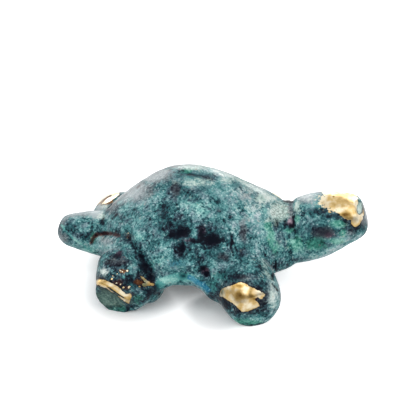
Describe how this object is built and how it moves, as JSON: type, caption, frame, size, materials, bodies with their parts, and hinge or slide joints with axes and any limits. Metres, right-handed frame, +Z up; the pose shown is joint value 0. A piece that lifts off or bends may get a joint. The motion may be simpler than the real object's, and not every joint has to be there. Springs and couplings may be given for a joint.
{
  "type": "turtle figurine",
  "caption": "Small cast bronze turtle with a domed shell, raised head, blunt tail and stub legs, patinated green with worn bright patches; a free-standing ornament.",
  "frame": {"origin": "middle of the bounding box's bottom, on the surface that the soles rest on", "axes": "+X towards the snout, +Y to the turtle's left, +Z up"},
  "size_m": [0.059, 0.043, 0.0226],
  "materials": {
    "patinated_bronze": "bronze with a speckled green patina over a near-black ground, waxed, and rubbed bright on the snout and feet"
  },
  "bodies": {
    "root": {"body": "patinated_bronze", "head_and_neck": "patinated_bronze", "tail": "patinated_bronze", "front_right_leg": "patinated_bronze", "front_left_leg": "patinated_bronze", "rear_right_leg": "patinated_bronze", "rear_left_leg": "patinated_bronze"}
  },
  "joints": []
}
